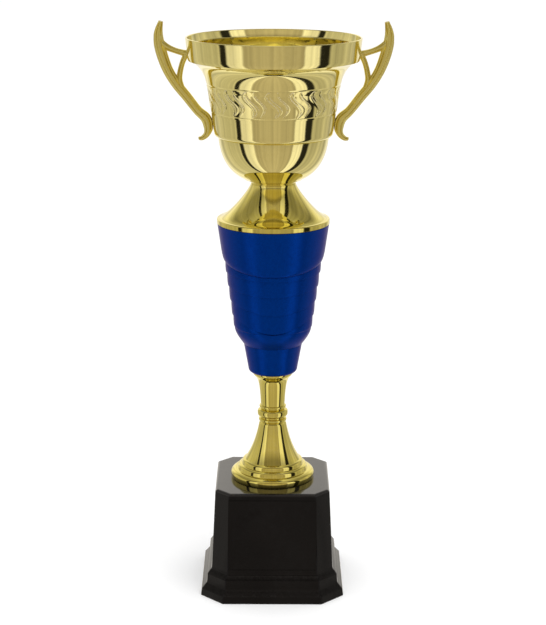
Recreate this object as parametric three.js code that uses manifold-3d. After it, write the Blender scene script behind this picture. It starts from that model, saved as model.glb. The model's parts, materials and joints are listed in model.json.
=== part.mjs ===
// Two-handled presentation cup: a gold bowl with horn-shaped handles, a flared gold skirt,
// a stepped blue column and a gold stem, drawn together on a black plinth by one tie rod.
// Millimetres, +Z up, origin at the centre of the underside, front towards -Y, handles along X.

import * as THREE from 'three';
import { mergeVertices } from 'three/addons/utils/BufferGeometryUtils.js';
import Module from 'manifold-3d';

const wasm = await Module();
wasm.setup();

// ---------------------------------------------------------------------------------------------
// Driving dimensions
// ---------------------------------------------------------------------------------------------

const ROUND_STEPS = 36; // facets round every large turned piece
const SMALL_STEPS = 24; // facets round rods, washers and holes
const CURVE_STEPS = 4; // facets along one curved stretch of an outline

const MARGIN = 3; // how far a cutting tool runs past the faces that it cuts

const fit = {
  seat: 0.05, // between faces that bear on each other
  trim: 0.3, // between a handle and the bowl that it is shaped to
  rodHole: 0.4, // radial play of the tie rod in its holes
  screwHole: 0.3, // radial play of a handle screw
  cover: 0.4, // round the edge of the bottom cover and the felt
};

// The plinth: a square with its corners cut off. A half width and a cut size name each outline.
const plinth = {
  height: 78.3,
  footHalf: 50.8,
  wall: 2.6,
  roof: 3.2,
  lowerLedgeRise: 5.6,
  coveRise: 8.4,
  upperLedgeRise: 16.1,
  mouldingRise: 19.9, // underside to the foot of the tapered body
  // how far each level stands inside the foot
  lowerLedgeInset: 0.7,
  coveInset: 3.4,
  upperLedgeInset: 4.6,
  bodyInset: 7.7,
  topInset: 10.4,
  mouldingStep: 1.2, // small step between the upper ledge and the body
  mouldingTurn: 1.6, // height of that step's rounding
  shoulderSpread: 2.3, // rounding where the top meets the sides: how far it goes in
  shoulderDrop: 2, // and how far it goes down
  footCut: 15.8, // how far the foot's corners are cut off
  cutGrowth: 0.55, // how much the corner cut grows for each millimetre of half width
};

const ballast = {
  height: 42,
  corner: 8,
  sideGap: 1.6, // between the block and the plinth's inner walls
};

const cover = { thickness: 2, recess: 1.4 };
const felt = { thickness: 1.2 };

const rod = { radius: 3, baseTail: 6, bowlTail: 5 };
const nut = { acrossFlats: 10, height: 5 };
const washer = { radius: 9, thickness: 1.2 };

// The stem: a flared foot of three rings, a slim neck with three beads and a spreading top.
const stem = {
  height: 78.4,
  wall: 1.8,
  bore: 4.6,
  footRadius: 29.2,
  rings: [
    // lowest ring first: its widest radius and height, then the groove above it
    { radius: 29.8, rise: 3.3, grooveRadius: 25.2, grooveRise: 6.1 },
    { radius: 24.7, rise: 7.8, grooveRadius: 22.2, grooveRise: 9.9 },
    { radius: 21.8, rise: 11.1, grooveRadius: 19.6, grooveRise: 13.6 },
  ],
  flareRadius: 9.65,
  flareTop: 40.4,
  flareLeave: [-6.55, 10],
  flareArrive: [-1.4, 6.4],
  beads: [
    // lowest bead first: its radius and height, then the groove above it
    { radius: 9.95, rise: 43, grooveRadius: 9.7, grooveRise: 45.2 },
    { radius: 10.85, rise: 48, grooveRadius: 9.2, grooveRise: 51.4 },
    { radius: 9.5, rise: 52.8, grooveRadius: 8.7, grooveRise: 54.8 },
  ],
  neckRadius: 8.64,
  neckLeave: [0.9, 20.2],
  neckArrive: [2.2, 3.6],
  topRadius: 14.2,
  topEdge: 0.2, // how far the lip stands out of the spreading top
  topLip: 1.5, // height of the lip
};

// The column: three stepped tiers. Lines divide the middle tier into bands, and every line and
// the top tier's lower edge dip at the front and the back.
const column = {
  height: 107.5,
  wall: 2,
  floor: 2.4,
  footRadius: 14.5,
  footRound: 3.3,
  lowFootRadius: 17.4,
  lowHeight: 21.1, // underside to the top of the lowest tier
  lowTopRadius: 20.6,
  midEdge: 0.3, // how far the middle tier stands over the lowest one
  footLeave: [1.1, 2.9], // the middle tier's rounded foot, steered at its lower end
  shoulderArrive: [0.5, 4.2], // and at its upper end
  shoulderRise: 33.4, // underside to where the middle tier's rounded foot ends
  shoulderRadius: 27.1,
  topRise: 75.6, // underside to the front dip of the top tier's lower edge
  midTopRadius: 33, // the middle tier's radius at that height
  topFootRadius: 34.3,
  topRadius: 38.9,
  topClimb: 5.9, // how far the top tier's lower edge climbs towards the sides
  topEdgeRound: 2.5, // rounding of that edge at the front
  topEdgeSpread: 5.5, // and how much higher it grows towards the sides
  lip: 0.16, // half of the small step between two bands
  topClimbPower: 2.5, // how late the top tier's edge begins to climb towards the sides
  lineClimbPower: 1.65, // and how late the lines between bands do
};
// The lines between bands: where each one runs at the front and how far it climbs.
const bandLines = [
  { rise: 33.8, climb: 9 },
  { rise: 47.4, climb: 6 },
  { rise: 60.6, climb: 3 },
  { rise: 72.2, climb: 1.3 },
];

// The skirt: a concave cone from the waist down to a plain lip on the column.
const skirt = {
  height: 29,
  wall: 1.4,
  deck: 2,
  waistRadius: 15.5,
  overhang: 0.3, // how far the lip stands out over the column
  lipHeight: 3.5,
  lipRound: 1,
  lipLeave: [-6.5, 0.15],
  waistArrive: [-0.3, 4],
  spigotDepth: 5,
  spigotFit: 0.4,
};

// The bowl: a straight rim band, a cove under it, a tapering wall, a small step and a basin.
const bowl = {
  wall: 1.2,
  rimRadius: 60,
  rimRound: 0.5,
  bandHeight: 15.1,
  bandFlare: 1.6, // how much wider the band is at its rim
  bandEdge: 0.8, // how far the band stands out over the cove
  bandEdgeHeight: 0.8,
  lidSeatDrop: 5.3, // rim to the ledge inside the band
  lidSeatWidth: 1,
  coveHeight: 19.5,
  coveSpread: 13.5, // band's foot to the cove's foot
  coveLeave: [1.4, 3.2],
  coveArrive: [11.2, 4.2],
  wallHeight: 29.5,
  wallTaper: 4,
  footRound: 3.2, // height of the turn from the wall in to the step
  stepInset: 3.4, // wall's foot to the bottom of the step
  ledge: 0.4, // how far the basin's edge stands out of the step
  ledgeDrop: 0.5,
  basinHeight: 31.4,
  basinLeave: [0.4, 1.8],
  basinArrive: [2.5, 27.6],
  waistRadius: 16,
  floorThickness: 2,
  floorRound: 1, // height over the floor at which its inner wall begins
  grooveDepth: 0.35,
  grooveWidth: 0.9,
  grooveRises: [-15.8, 3.3], // from the foot of the cove
};

// The handles: three tapering limbs that meet in one casting, and two screw seats.
const handle = {
  upperSeatDrop: 10.7, // below the rim
  lowerSeatDrop: 58.5,
  sides: 10,
};
const screw = {
  radius: 1.25,
  headRadius: 2.6,
  headHeight: 1.6,
  upperReach: 4.2, // how far the thread goes into the handle
  lowerReach: 4.6,
};
const screwWasher = { radius: 3.2, thickness: 0.6 };

// Heights at which the stacked pieces begin
const stemBase = plinth.height + fit.seat;
const columnBase = stemBase + stem.height + fit.seat;
const skirtBase = columnBase + column.height + fit.seat;
const bowlBase = skirtBase + skirt.height + fit.seat;
const bowlLower = bowl.basinHeight + bowl.footRound + bowl.wallHeight;
const bowlHeight = bowlLower + bowl.coveHeight + bowl.bandHeight;
const rodHoleRadius = rod.radius + fit.rodHole;

// ---------------------------------------------------------------------------------------------
// Materials
// ---------------------------------------------------------------------------------------------

const finish = (color, roughness, metalness) =>
  new THREE.MeshStandardMaterial({ color, roughness, metalness });

const polishedGold = () => finish(0xc8ad5c, 0.12, 1);
const castGold = () => finish(0xbfa250, 0.26, 1);
const blueMetallic = () => finish(0x08339a, 0.34, 0.75);
const blackPlastic = () => finish(0x1c1a18, 0.4, 0);
const zincSteel = () => finish(0xb9bcc0, 0.35, 1);
const cement = () => finish(0x8f8b83, 0.9, 0);
const blackFelt = () => finish(0x1a1a1c, 0.95, 0);
const fibreBoard = () => finish(0x3a3129, 0.85, 0);

// ---------------------------------------------------------------------------------------------
// Helpers
// ---------------------------------------------------------------------------------------------

const point = (r, z) => new THREE.Vector2(r, z);

/** Turns a closed three.js geometry into a solid that can be joined and cut. */
function solidOf(geometry) {
  const bare = geometry.index ? geometry.clone() : geometry;
  bare.deleteAttribute('normal');
  bare.deleteAttribute('uv');
  const merged = mergeVertices(bare, 1e-4);
  const corners = merged.attributes.position;
  const triVerts = [];
  for (let i = 0; i < merged.index.count; i += 3) {
    const [a, b, c] = [0, 1, 2].map((k) => merged.index.getX(i + k));
    if (a !== b && b !== c && c !== a) triVerts.push(a, b, c);
  }
  return new wasm.Manifold(new wasm.Mesh({
    numProp: 3,
    vertProperties: new Float32Array(corners.array),
    triVerts: new Uint32Array(triVerts),
  }));
}

/** Makes the named mesh of a finished solid. */
function meshOf(name, solid, material) {
  const { vertProperties, triVerts, numProp } = solid.getMesh();
  const places = new Float32Array((vertProperties.length / numProp) * 3);
  for (let i = 0; i < places.length / 3; i += 1) {
    for (let k = 0; k < 3; k += 1) places[3 * i + k] = vertProperties[numProp * i + k];
  }
  const geometry = new THREE.BufferGeometry();
  geometry.setAttribute('position', new THREE.BufferAttribute(places, 3));
  geometry.setIndex(new THREE.BufferAttribute(new Uint32Array(triVerts), 1));
  geometry.computeVertexNormals();
  const mesh = new THREE.Mesh(geometry, material);
  mesh.name = name;
  return mesh;
}

/** A solid turned round Z from an outline that runs counter-clockwise in radius and height. */
function turned(outline, steps = ROUND_STEPS) {
  const closed = outline[0].x < 1e-6 ? outline : [...outline, outline[0].clone()];
  return solidOf(new THREE.LatheGeometry(closed, steps).rotateX(Math.PI / 2));
}

/** A rod or disc along Z between two heights. */
function disc(radius, bottom, top, steps = SMALL_STEPS) {
  return turned([point(0, bottom), point(radius, bottom), point(radius, top), point(0, top)], steps);
}

/** A rod along X between two places, at a height. */
function crossRod(radius, fromX, toX, height, steps = SMALL_STEPS) {
  const geometry = new THREE.CylinderGeometry(radius, radius, Math.abs(toX - fromX), steps);
  geometry.rotateZ(Math.PI / 2);
  geometry.translate((fromX + toX) / 2, 0, height);
  return solidOf(geometry);
}

/** Points of a quadratic curve from one place to another, pulled towards a third. */
function curve(from, pull, to, steps = CURVE_STEPS) {
  return new THREE.QuadraticBezierCurve(from, pull, to).getPoints(steps);
}

/** Points of a cubic curve that leaves one place and arrives at another along two given runs. */
function sweep(from, leave, arrive, to, steps) {
  const steerFrom = point(from.x + leave[0], from.y + leave[1]);
  const steerTo = point(to.x - arrive[0], to.y - arrive[1]);
  return new THREE.CubicBezierCurve(from, steerFrom, steerTo, to).getPoints(steps);
}

/** Points of a quarter ellipse that bulges towards its corner. */
function quarterRound(from, corner, to, steps = CURVE_STEPS) {
  const points = [];
  for (let i = 0; i <= steps; i += 1) {
    const turn = (i / steps) * (Math.PI / 2);
    const a = 1 - Math.sin(turn);
    const b = 1 - Math.cos(turn);
    points.push(point(
      corner.x + (from.x - corner.x) * a + (to.x - corner.x) * b,
      corner.y + (from.y - corner.y) * a + (to.y - corner.y) * b,
    ));
  }
  return points;
}

/** Radius of a rising outline at a height. */
function radiusAt(outline, height) {
  for (let i = 1; i < outline.length; i += 1) {
    const [low, high] = [outline[i - 1], outline[i]];
    if (height >= low.y && height <= high.y && high.y > low.y) {
      return low.x + (high.x - low.x) * ((height - low.y) / (high.y - low.y));
    }
  }
  return height < outline[0].y ? outline[0].x : outline[outline.length - 1].x;
}

/** The same outline moved to its left side by a distance, with mitred corners. */
function offsetInward(outline, distance) {
  return outline.map((here, i) => {
    const before = outline[Math.max(i - 1, 0)];
    const after = outline[Math.min(i + 1, outline.length - 1)];
    const along = new THREE.Vector2().subVectors(after, before).normalize();
    const arriving = i > 0 ? new THREE.Vector2().subVectors(here, before).normalize() : along;
    const mitre = Math.max(arriving.dot(along), 0.5);
    return point(here.x - (along.y * distance) / mitre, here.y + (along.x * distance) / mitre);
  });
}

// ---------------------------------------------------------------------------------------------
// Plinth
// ---------------------------------------------------------------------------------------------

/** Corner cut of the plinth's outline at a half width. */
const cutAt = (half) => plinth.footCut - (plinth.footHalf - half) * plinth.cutGrowth;

/** The eight corners of a square with cut corners, starting right of the front edge's middle. */
function cutSquare(half, cut) {
  const flat = half - cut;
  return [
    [flat, -half], [half, -flat], [half, flat], [flat, half],
    [-flat, half], [-half, flat], [-half, -flat], [-flat, -half],
  ];
}

/** A solid of stacked cut squares. Each level is a point of half width and height. */
function cutSquareStack(levels, cutFor = cutAt) {
  const geometry = new THREE.LatheGeometry(levels, 8).rotateX(Math.PI / 2);
  const places = geometry.attributes.position;
  for (let i = 0; i < places.count; i += 1) {
    const level = levels[i % levels.length];
    const side = Math.floor(i / levels.length) % 8;
    const [x, y] = level.x === 0 ? [0, 0] : cutSquare(level.x, cutFor(level.x))[side];
    places.setXYZ(i, x, y, level.y);
  }
  return solidOf(geometry);
}

/** Half width and height of the plinth's outer levels, from the floor up. */
function plinthLevels() {
  const inset = (distance) => plinth.footHalf - distance;
  const upperLedge = inset(plinth.upperLedgeInset);
  const bodyFoot = inset(plinth.bodyInset);
  const bodyTop = inset(plinth.topInset);
  return [
    point(plinth.footHalf, 0),
    point(inset(plinth.lowerLedgeInset), plinth.lowerLedgeRise),
    ...curve(
      point(inset(plinth.coveInset), plinth.coveRise),
      point(upperLedge, plinth.coveRise),
      point(upperLedge, plinth.upperLedgeRise),
    ),
    ...quarterRound(
      point(bodyFoot + plinth.mouldingStep, plinth.mouldingRise - plinth.mouldingTurn),
      point(bodyFoot, plinth.mouldingRise - plinth.mouldingTurn),
      point(bodyFoot, plinth.mouldingRise),
      2,
    ),
    ...quarterRound(
      point(bodyTop, plinth.height - plinth.shoulderDrop),
      point(bodyTop, plinth.height),
      point(bodyTop - plinth.shoulderSpread, plinth.height),
      3,
    ),
  ];
}

/** Half width of the plinth's hollow at a height, with the walls at their full thickness. */
function innerHalfAt(height) {
  const below = Math.min(height, plinth.height - plinth.shoulderDrop);
  return radiusAt(plinthLevels(), below) - plinth.wall;
}

function plinthShell() {
  const roofHeight = plinth.height - plinth.roof;
  const coverSeat = cover.recess + cover.thickness;
  const inner = [
    point(innerHalfAt(roofHeight), roofHeight),
    point(innerHalfAt(plinth.mouldingRise), plinth.mouldingRise),
    point(innerHalfAt(plinth.mouldingRise), coverSeat + fit.seat),
    point(innerHalfAt(0), coverSeat + fit.seat),
    point(innerHalfAt(0), 0),
  ];
  const levels = [...plinthLevels(), point(0, plinth.height), point(0, roofHeight), ...inner];
  const hole = disc(rodHoleRadius, roofHeight - MARGIN, plinth.height + MARGIN);
  return cutSquareStack([...levels, levels[0].clone()]).subtract(hole);
}

function ballastBlock() {
  const top = plinth.height - plinth.roof - fit.seat;
  const bottom = top - ballast.height;
  const topHalf = innerHalfAt(top) - ballast.sideGap;
  const bottomHalf = innerHalfAt(bottom) - ballast.sideGap;
  const block = cutSquareStack(
    [point(0, bottom), point(bottomHalf, bottom), point(topHalf, top), point(0, top)],
    () => ballast.corner,
  );
  return block.subtract(disc(rodHoleRadius, bottom - MARGIN, top + MARGIN));
}

/** A flat sheet that closes the plinth's underside. */
function bottomSheet(bottom, thickness) {
  const half = innerHalfAt(0) - fit.cover;
  const top = bottom + thickness;
  return cutSquareStack([point(0, bottom), point(half, bottom), point(half, top), point(0, top)]);
}

// ---------------------------------------------------------------------------------------------
// Tie rod and its fasteners
// ---------------------------------------------------------------------------------------------

function plainWasher(outer, hole, thickness) {
  return disc(outer, 0, thickness).subtract(disc(hole, -MARGIN, thickness + MARGIN));
}

function hexNut() {
  const outer = disc(nut.acrossFlats / Math.sqrt(3), 0, nut.height, 6);
  return outer.subtract(disc(rod.radius + fit.seat, -MARGIN, nut.height + MARGIN));
}

// ---------------------------------------------------------------------------------------------
// Stem
// ---------------------------------------------------------------------------------------------

function stemOutline() {
  const outline = [point(stem.footRadius, 0)];
  for (const ring of stem.rings) {
    const start = outline[outline.length - 1];
    const widest = point(ring.radius, ring.rise);
    const groove = point(ring.grooveRadius, ring.grooveRise);
    outline.push(...quarterRound(start, point(ring.radius, start.y), widest, 2).slice(1));
    outline.push(...quarterRound(widest, point(ring.radius, groove.y), groove, 3).slice(1));
  }
  outline.push(...sweep(
    outline[outline.length - 1],
    stem.flareLeave,
    stem.flareArrive,
    point(stem.flareRadius, stem.flareTop),
    5,
  ).slice(1));
  for (const bead of stem.beads) {
    const half = (bead.grooveRise - bead.rise) / 2;
    outline.push(point(bead.radius, bead.rise - half), point(bead.radius, bead.rise + half));
    outline.push(point(bead.grooveRadius, bead.grooveRise));
  }
  const neckFoot = outline[outline.length - 1].y + stem.topEdge;
  const underLip = stem.height - stem.topLip;
  outline.push(...sweep(
    point(stem.neckRadius, neckFoot),
    stem.neckLeave,
    stem.neckArrive,
    point(stem.topRadius - stem.topEdge, underLip),
    6,
  ));
  outline.push(point(stem.topRadius, underLip), point(stem.topRadius, stem.height));
  return outline;
}

/** The stem is a thick-walled casting: a plain bore that opens into a hollow foot. */
function stemSolid() {
  const wide = stem.footRadius - stem.wall * 2;
  return turned([
    ...stemOutline(),
    point(stem.bore, stem.height),
    ...curve(
      point(stem.bore, stem.flareTop),
      point(stem.bore, stem.rings[0].grooveRise),
      point(wide, 0),
      3,
    ),
  ]);
}

// ---------------------------------------------------------------------------------------------
// Column
// ---------------------------------------------------------------------------------------------

/** Radius of the middle tier's wall at a height. */
function midWall(height) {
  const share = (height - column.shoulderRise) / (column.topRise - column.shoulderRise);
  return column.shoulderRadius + (column.midTopRadius - column.shoulderRadius) * share;
}

/** Radius of the top tier's wall at a height. */
function topWall(height) {
  const share = (height - column.topRise) / (column.height - column.topRise);
  return column.topFootRadius + (column.topRadius - column.topFootRadius) * share;
}

/** The column's outer outline in one direction. Aside is 0 at the front and back, 1 at the sides. */
function columnOutline(aside) {
  const side = aside ** column.topClimbPower;
  const midFoot = point(column.lowTopRadius + column.midEdge, column.lowHeight);
  const shoulder = point(column.shoulderRadius, column.shoulderRise);
  const outline = [
    ...quarterRound(
      point(column.footRadius, 0),
      point(column.lowFootRadius, 0),
      point(column.lowFootRadius, column.footRound),
      3,
    ),
    point(column.lowTopRadius, column.lowHeight),
    ...sweep(midFoot, column.footLeave, column.shoulderArrive, shoulder, 6),
  ];
  for (const { rise, climb } of bandLines) {
    const height = rise + climb * aside ** column.lineClimbPower;
    outline.push(point(midWall(height) - column.lip, height));
    outline.push(point(midWall(height) + column.lip, height + column.lip));
  }
  const topEdge = column.topRise + column.topClimb * side;
  outline.push(point(midWall(topEdge) - column.lip, topEdge));
  const roundTop = topEdge + column.topEdgeRound + column.topEdgeSpread * side;
  outline.push(...quarterRound(
    point(midWall(topEdge) + column.lip, topEdge + column.lip),
    point(topWall(topEdge), topEdge),
    point(topWall(roundTop), roundTop),
    3,
  ));
  outline.push(point(column.topRadius, column.height));
  return outline;
}

/** The column's inner outline, from the floor up. */
const columnInside = [
  point(column.lowFootRadius - column.wall, column.floor),
  point(column.lowTopRadius - column.wall, column.lowHeight),
  point(column.shoulderRadius - column.wall, column.shoulderRise),
  point(column.midTopRadius - column.wall, column.topRise),
  point(column.topRadius - column.wall, column.height),
];

function columnSolid() {
  const inner = [...columnInside].reverse();
  const axis = [point(0, column.floor), point(0, 0)];
  const front = [...columnOutline(0), ...inner, ...axis, columnOutline(0)[0]];
  const geometry = new THREE.LatheGeometry(front, ROUND_STEPS).rotateX(Math.PI / 2);
  const places = geometry.attributes.position;
  for (let step = 0; step <= ROUND_STEPS; step += 1) {
    const turn = ((step % ROUND_STEPS) / ROUND_STEPS) * Math.PI * 2;
    columnOutline(Math.abs(Math.sin(turn))).forEach((here, i) => {
      places.setXYZ(step * front.length + i, here.x * Math.sin(turn), -here.x * Math.cos(turn), here.y);
    });
  }
  return solidOf(geometry).subtract(disc(rodHoleRadius, -MARGIN, column.floor + MARGIN));
}

// ---------------------------------------------------------------------------------------------
// Skirt
// ---------------------------------------------------------------------------------------------

const lipRadius = column.topRadius + skirt.overhang;

/** The cone's flare, from the lip up to the waist. */
const skirtFlare = (steps) => sweep(
  point(lipRadius - skirt.lipRound, skirt.lipHeight),
  skirt.lipLeave,
  skirt.waistArrive,
  point(skirt.waistRadius, skirt.height),
  steps,
);

function skirtSolid() {
  const spigot = radiusAt(columnInside, column.height - skirt.spigotDepth) - skirt.spigotFit;
  const deckFoot = skirt.height - skirt.deck;
  const under = offsetInward(skirtFlare(6), skirt.wall)
    .filter((here) => here.x < spigot - skirt.wall && here.y > 0 && here.y < deckFoot)
    .reverse();
  const outline = [
    point(spigot, -skirt.spigotDepth),
    point(spigot, 0),
    point(lipRadius, 0),
    point(lipRadius, skirt.lipHeight - skirt.lipRound),
    ...skirtFlare(9),
    point(0, skirt.height),
    point(0, deckFoot),
    point(skirt.waistRadius - skirt.wall, deckFoot),
    ...under,
    point(spigot - skirt.wall, -skirt.spigotDepth),
  ];
  return turned(outline).subtract(disc(rodHoleRadius, deckFoot - MARGIN, skirt.height + MARGIN));
}

// ---------------------------------------------------------------------------------------------
// Bowl
// ---------------------------------------------------------------------------------------------

const wallFoot = bowl.basinHeight + bowl.footRound;
const coveFoot = wallFoot + bowl.wallHeight;
const bandFoot = coveFoot + bowl.coveHeight;

/** The bowl's outer outline from the waist to the rim, without grooves. */
function bowlOutline() {
  const bandRadius = bowl.rimRadius - bowl.bandFlare;
  const coveRadius = bandRadius - bowl.coveSpread;
  const wallRadius = coveRadius - bowl.wallTaper;
  const stepRadius = wallRadius - bowl.stepInset;
  const halfEdge = bowl.bandEdgeHeight / 2;
  return [
    ...sweep(
      point(bowl.waistRadius, 0),
      bowl.basinLeave,
      bowl.basinArrive,
      point(stepRadius + bowl.ledge, bowl.basinHeight - bowl.ledgeDrop),
      9,
    ),
    ...quarterRound(
      point(stepRadius, bowl.basinHeight),
      point(wallRadius, bowl.basinHeight),
      point(wallRadius, wallFoot),
      4,
    ),
    ...sweep(
      point(coveRadius, coveFoot),
      bowl.coveLeave,
      bowl.coveArrive,
      point(bandRadius - bowl.bandEdge, bandFoot - halfEdge),
      7,
    ),
    point(bandRadius, bandFoot + halfEdge),
    point(bowl.rimRadius, bowlHeight - bowl.rimRound * 2),
    point(bowl.rimRadius - bowl.rimRound / 2, bowlHeight),
  ];
}

/** Outer radius of the bowl at a height above its underside. */
const bowlRadiusAt = (height) => radiusAt(bowlOutline(), height);

/** Cuts a fine ring groove into an outline at a height. */
function withGroove(outline, height) {
  const half = bowl.grooveWidth / 2;
  const below = outline.filter((here) => here.y < height - half);
  const above = outline.filter((here) => here.y > height + half);
  return [
    ...below,
    point(radiusAt(outline, height - half), height - half),
    point(radiusAt(outline, height) - bowl.grooveDepth, height),
    point(radiusAt(outline, height + half), height + half),
    ...above,
  ];
}

/** The bowl's inner outline from the rim down to the floor. */
function bowlInside() {
  const outer = bowlOutline().filter((here) => here.y < bowlHeight - bowl.rimRound);
  const wallBegins = bowl.floorThickness + bowl.floorRound;
  const seat = bowlHeight - bowl.lidSeatDrop;
  const inner = offsetInward(outer, bowl.wall)
    .filter((here) => here.y > wallBegins && here.y < bandFoot);
  const seatRadius = radiusAt(bowlOutline(), seat) - bowl.wall;
  inner.push(point(seatRadius - bowl.lidSeatWidth, seat));
  inner.push(point(seatRadius, seat));
  inner.push(point(bowl.rimRadius - bowl.wall, bowlHeight));
  return inner.reverse();
}

/** Inner radius of the bowl at a height above its underside. */
const bowlInsideAt = (height) => radiusAt(bowlInside().reverse(), height);

function bowlSolid() {
  const grooved = bowl.grooveRises.reduce(
    (outline, rise) => withGroove(outline, coveFoot + rise),
    bowlOutline(),
  );
  const inner = bowlInside();
  const basin = inner[inner.length - 1];
  let solid = turned([
    ...grooved,
    ...inner,
    point(basin.x - bowl.floorThickness, bowl.floorThickness),
    point(0, bowl.floorThickness),
    point(0, 0),
    grooved[0].clone(),
  ]);
  solid = solid.subtract(disc(rodHoleRadius, -MARGIN, bowl.floorThickness + MARGIN));
  for (const seat of handleSeats) {
    for (const side of [-1, 1]) {
      const [near, far] = [side * (seat.inside - MARGIN), side * (seat.outside + MARGIN)];
      solid = solid.subtract(crossRod(screw.radius + fit.screwHole, near, far, seat.height));
    }
  }
  return solid;
}

// ---------------------------------------------------------------------------------------------
// Handles and their screws
// ---------------------------------------------------------------------------------------------

/** Where a handle is screwed on: its height on the bowl, and the wall's two radii there. */
function seatAt(drop, reach, name) {
  const height = bowlHeight - drop;
  const lowest = bowlInsideAt(height - screwWasher.radius);
  return {
    name,
    height,
    reach,
    outside: bowlRadiusAt(height),
    inside: Math.sqrt(lowest ** 2 - screwWasher.radius ** 2) - fit.seat,
  };
}

const handleSeats = [
  seatAt(handle.upperSeatDrop, screw.upperReach, 'upper'),
  seatAt(handle.lowerSeatDrop, screw.lowerReach, 'lower'),
];
const [upperSeat, lowerSeat] = handleSeats;

/** A limb's station: its place, counted outward and upward from a seat, and its half sizes. */
const station = (seat, out, up, halfWidth, halfDepth) => ({
  place: new THREE.Vector3(seat.outside + out, 0, seat.height + up),
  halfWidth,
  halfDepth,
});

const hornStations = [
  station(upperSeat, 17.3, 21.4, 1.5, 1.9),
  station(upperSeat, 19.0, 14.2, 2.9, 2.7),
  station(upperSeat, 18.9, 7.5, 3.7, 3.1),
  station(upperSeat, 16.6, -2.0, 3.9, 3.3),
  station(upperSeat, 12.9, -11.8, 3.6, 3.4),
  station(upperSeat, 7.4, -21.0, 3.5, 3.5),
  station(upperSeat, 0.3, -29.8, 3.4, 3.6),
  station(lowerSeat, 10.3, 8.8, 3.3, 3.9),
  station(lowerSeat, 4.7, 3.4, 3.7, 4.2),
  station(lowerSeat, 2.9, -2.6, 3.4, 4.2),
  station(lowerSeat, 4.0, -7.4, 2.3, 3.6),
  station(lowerSeat, 7.0, -10.2, 1.7, 3.0),
  station(lowerSeat, 9.7, -10.6, 1.1, 2.4),
];

const armStations = [
  station(upperSeat, 17.6, 6.2, 3.0, 2.9),
  station(upperSeat, 13.2, 3.6, 2.3, 2.8),
  station(upperSeat, 8.4, 1.6, 2.0, 2.9),
  station(upperSeat, 3.6, 0.2, 2.1, 3.2),
  station(upperSeat, -1.2, -1.0, 2.6, 3.6),
];

const strutStations = [
  station(upperSeat, 0.6, -1.2, 2.1, 3.2),
  station(upperSeat, 3.0, -6.6, 1.9, 2.9),
  station(upperSeat, 4.6, -12.6, 2.0, 2.8),
  station(upperSeat, 5.2, -18.4, 2.2, 2.9),
  station(upperSeat, 3.4, -25.0, 2.2, 3.0),
];

/** A limb with an oval section that changes from station to station, in the XZ plane. */
function limb(stations, steps) {
  const line = new THREE.CatmullRomCurve3(stations.map((here) => here.place), false, 'centripetal');
  const geometry = new THREE.CylinderGeometry(1, 1, 1, handle.sides, steps);
  const places = geometry.attributes.position;
  const last = stations.length - 1;
  for (let i = 0; i < places.count; i += 1) {
    const along = Math.min(Math.max(0.5 - places.getY(i), 0), 1);
    const index = Math.min(Math.floor(along * last), last - 1);
    const share = along * last - index;
    const [here, next] = [stations[index], stations[index + 1]];
    const width = THREE.MathUtils.lerp(here.halfWidth, next.halfWidth, share);
    const depth = THREE.MathUtils.lerp(here.halfDepth, next.halfDepth, share);
    const centre = line.getPoint(along);
    const heading = line.getTangent(along);
    const across = places.getX(i) * width;
    places.setXYZ(
      i,
      centre.x + heading.z * across,
      places.getZ(i) * depth,
      centre.z - heading.x * across,
    );
  }
  return solidOf(geometry);
}

/** The bowl's outside grown by a gap and filled in, as the tool that shapes the handle's seats. */
function bowlEnvelope(gap) {
  const grown = offsetInward(bowlOutline(), -gap);
  return turned([point(0, grown[0].y), ...grown, point(0, grown[grown.length - 1].y)]);
}

/** One handle, on the +X side, in the bowl's own heights. */
function handleSolid() {
  let solid = limb(hornStations, 24)
    .add(limb(armStations, 6))
    .add(limb(strutStations, 6))
    .subtract(bowlEnvelope(fit.trim));
  for (const seat of handleSeats) {
    solid = solid.subtract(crossRod(
      screw.radius + fit.screwHole,
      seat.outside - MARGIN,
      seat.outside + seat.reach + fit.screwHole,
      seat.height,
    ));
  }
  return solid;
}

/** A pan-head screw along +X: its head sits inside the bowl on the washer. */
function screwSolid(seat) {
  const headFace = seat.inside - screwWasher.thickness - fit.seat;
  const head = new THREE.LatheGeometry([
    point(0, 0),
    point(screw.headRadius, 0),
    ...quarterRound(
      point(screw.headRadius, 0.3),
      point(screw.headRadius, screw.headHeight),
      point(0, screw.headHeight),
      3,
    ),
  ], 16);
  head.rotateZ(Math.PI / 2).translate(headFace, 0, seat.height);
  const shank = crossRod(screw.radius, headFace - 0.5, seat.outside + seat.reach, seat.height, 16);
  return solidOf(head).add(shank);
}

function screwWasherSolid(seat) {
  const [near, far] = [seat.inside - screwWasher.thickness, seat.inside];
  return crossRod(screwWasher.radius, near, far, seat.height, 20)
    .subtract(crossRod(screw.radius + fit.screwHole, near - MARGIN, far + MARGIN, seat.height, 16));
}

// ---------------------------------------------------------------------------------------------
// Assembly
// ---------------------------------------------------------------------------------------------

/** A group at a height, holding meshes that are modelled from its own base. */
function storey(height, ...meshes) {
  const group = new THREE.Group();
  group.position.z = height;
  group.add(...meshes);
  return group;
}

const ballastFoot = plinth.height - plinth.roof - fit.seat - ballast.height;
const lowerWasherBase = ballastFoot - fit.seat - washer.thickness;
const lowerNutBase = lowerWasherBase - fit.seat - nut.height;
const upperWasherBase = bowlBase + bowl.floorThickness + fit.seat;
const upperNutBase = upperWasherBase + washer.thickness + fit.seat;
const rodBottom = lowerNutBase - rod.baseTail;
const rodTop = upperNutBase + nut.height + rod.bowlTail;

const trophy = new THREE.Group();

trophy.add(storey(
  0,
  meshOf('plinth_shell', plinthShell(), blackPlastic()),
  meshOf('ballast_block', ballastBlock(), cement()),
  meshOf('bottom_cover', bottomSheet(cover.recess, cover.thickness), fibreBoard()),
  meshOf('felt_pad', bottomSheet(0, felt.thickness), blackFelt()),
  meshOf('tie_rod', disc(rod.radius, rodBottom, rodTop), zincSteel()),
));

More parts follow.
